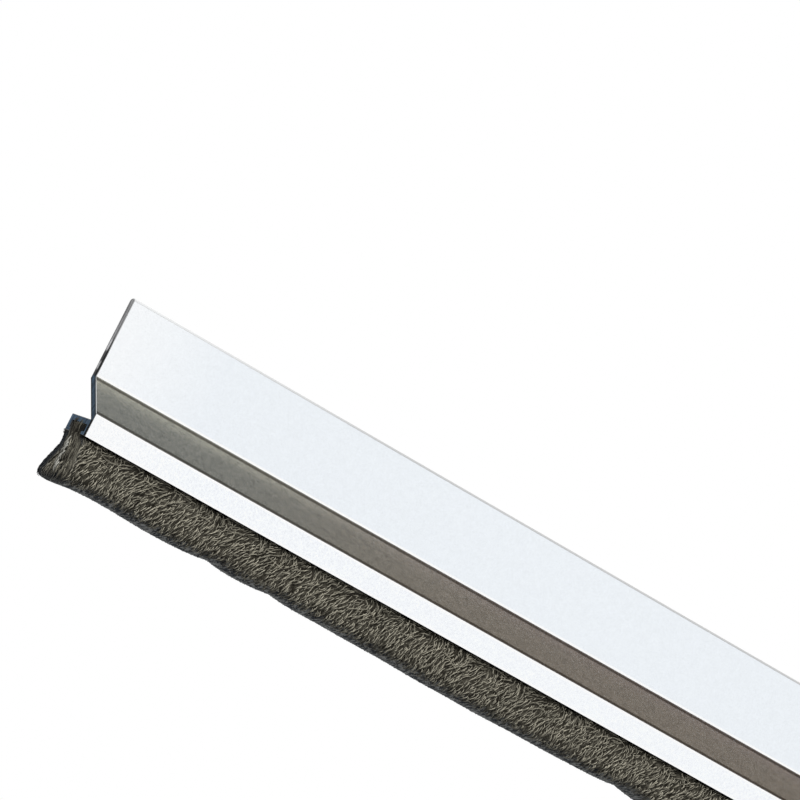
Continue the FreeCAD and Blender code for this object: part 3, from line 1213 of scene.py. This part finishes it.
def card_material(name, colours, stretch):
    """Glow that runs from one colour to the other between two places along the strip."""
    material, graph = new_graph(name)
    where = graph.node("ShaderNodeNewGeometry", output="Position")
    along = graph.node("ShaderNodeSeparateXYZ", inputs={"Vector": where}, output="X")
    share = graph.node(
        "ShaderNodeMapRange", {"interpolation_type": "SMOOTHSTEP"},
        {"Value": along, "From Min": stretch[0], "From Max": stretch[1]})
    colour = graph.mix_colour(share, *(opaque(colour) for colour in colours))
    glow = graph.node("ShaderNodeEmission", inputs={"Color": colour, "Strength": 1.0})
    graph.node("ShaderNodeOutputMaterial", inputs={"Surface": glow})
    return material


def add_card(name, colours, size, place, facing):
    """A studio card that shows only as a reflection in the metal."""
    card = bpy.data.objects.new(name, plane_mesh(name, *size))
    bpy.context.scene.collection.objects.link(card)
    card.data.materials.append(card_material(name, colours, (-0.04, 0.08)))
    card.matrix_world = Matrix.Translation(place) @ facing.to_track_quat("Z", "Y").to_matrix().to_4x4()
    card.visible_camera = False
    card.visible_diffuse = False
    card.visible_shadow = False


def set_world(studio):
    world = bpy.data.worlds.new("soft_studio")
    bpy.context.scene.world = world
    world.use_nodes = True
    graph = Graph(world.node_tree)
    level = seen_rays(graph) * (1 - studio.sky_level) + studio.sky_level
    sky = graph.node("ShaderNodeBackground", inputs={"Color": (1.0, 1.0, 1.0, 1.0), "Strength": level})
    graph.node("ShaderNodeOutputWorld", inputs={"Surface": sky})


def add_lamp(name, power, size, place, target):
    lamp = bpy.data.lights.new(name, "AREA")
    lamp.shape = "RECTANGLE"
    lamp.size, lamp.size_y = size
    lamp.energy = power
    holder = bpy.data.objects.new(name, lamp)
    bpy.context.scene.collection.objects.link(holder)
    holder.location = place
    holder.rotation_euler = (target - place).to_track_quat("-Z", "Y").to_euler()
    holder.visible_glossy = False


def add_camera(studio):
    """Camera at the photograph's angle, aimed near the strip's left end."""
    left_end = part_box(CARRIER)[0].x
    aim = Vector((left_end + 0.0556, -0.0352, 0.0167))
    flat = math.cos(studio.elevation)
    back = Vector((
        math.sin(studio.azimuth) * flat, -math.cos(studio.azimuth) * flat, math.sin(studio.elevation)))
    data = bpy.data.cameras.new("photo_camera")
    data.sensor_width = 36.0
    data.lens = studio.lens
    data.clip_start = 0.1
    data.clip_end = 40.0
    camera = bpy.data.objects.new("photo_camera", data)
    bpy.context.scene.collection.objects.link(camera)
    level = (-back).to_track_quat("-Z", "Y").to_matrix().to_4x4()
    turned = Matrix.Rotation(studio.roll, 4, "Z")
    camera.matrix_world = Matrix.Translation(aim + back * studio.distance) @ level @ turned
    bpy.context.scene.camera = camera


class DRAUGHT_OT_set_stage(bpy.types.Operator):
    """Adds the floor, soft lamps, reflected cards and the camera"""

    bl_idname = "draught.set_stage"
    bl_label = "Set Stage"

    def execute(self, context):
        studio = context.scene.draught_strip.studio
        context.scene.view_settings.view_transform = "Standard"
        floor = bpy.data.objects.new("floor", plane_mesh("floor", 24.0, 24.0))
        context.scene.collection.objects.link(floor)
        floor.location.z = -studio.floor_drop
        floor.data.materials.append(floor_material(studio))
        set_world(studio)
        middle = Vector((0, 0, 0))
        add_lamp("key", studio.key_power, (0.8, 0.6), Vector((-0.9, -1.2, 1.8)), middle)
        down = Vector((0, 0, -1))
        add_card(
            "overhead_card", ((0.047, 0.047, 0.034), (0.083, 0.052, 0.014)), (1.2, 1.0),
            Vector((0.05, 0.52, 0.6)), down)
        add_card(
            "overhead_front_card", ((0.25, 0.225, 0.145), (0.09, 0.035, 0.0)), (1.2, 0.3),
            Vector((0.05, -0.13, 0.6)), down)
        add_card(
            "front_card", ((0.02, 0.016, 0.012), (0.02, 0.016, 0.012)), (3.0, 0.55),
            Vector((0.2, -0.45, 0.45)), Vector((0, 0.65, -0.75)))
        add_card(
            "back_card", ((0.40, 0.41, 0.425), (0.40, 0.41, 0.425)), (2.4, 1.2),
            Vector((-1.2, 0.9, 0.0)), Vector((1.0, -0.8, 0)))
        add_camera(studio)
        return {"FINISHED"}


STEPS = (
    DRAUGHT_OT_finish_carrier,
    DRAUGHT_OT_finish_backing,
    DRAUGHT_OT_make_pile_ground,
    DRAUGHT_OT_make_pile_strands,
    DRAUGHT_OT_set_stage,
)


class DRAUGHT_PT_panel(bpy.types.Panel):
    """Buttons for each step of the strip"""

    bl_label = "Draught Strip"
    bl_idname = "DRAUGHT_PT_panel"
    bl_space_type = "VIEW_3D"
    bl_region_type = "UI"
    bl_category = "Draught Strip"

    def draw(self, context):
        for step in STEPS:
            self.layout.operator(step.bl_idname)


GROUPS = (CarrierShape, MetalFinish, PileShape, StrandFinish, StudioSetup, DraughtStrip)


def register():
    for group in GROUPS + STEPS + (DRAUGHT_PT_panel,):
        bpy.utils.register_class(group)
    bpy.types.Scene.draught_strip = PointerProperty(type=DraughtStrip)


def unregister():
    del bpy.types.Scene.draught_strip
    for group in reversed(GROUPS + STEPS + (DRAUGHT_PT_panel,)):
        bpy.utils.unregister_class(group)


def main():
    register()
    bpy.ops.draught.finish_carrier()
    bpy.ops.draught.finish_backing()
    bpy.ops.draught.make_pile_ground()
    bpy.ops.draught.make_pile_strands()
    bpy.ops.draught.set_stage()


if __name__ == "__main__":
    main()
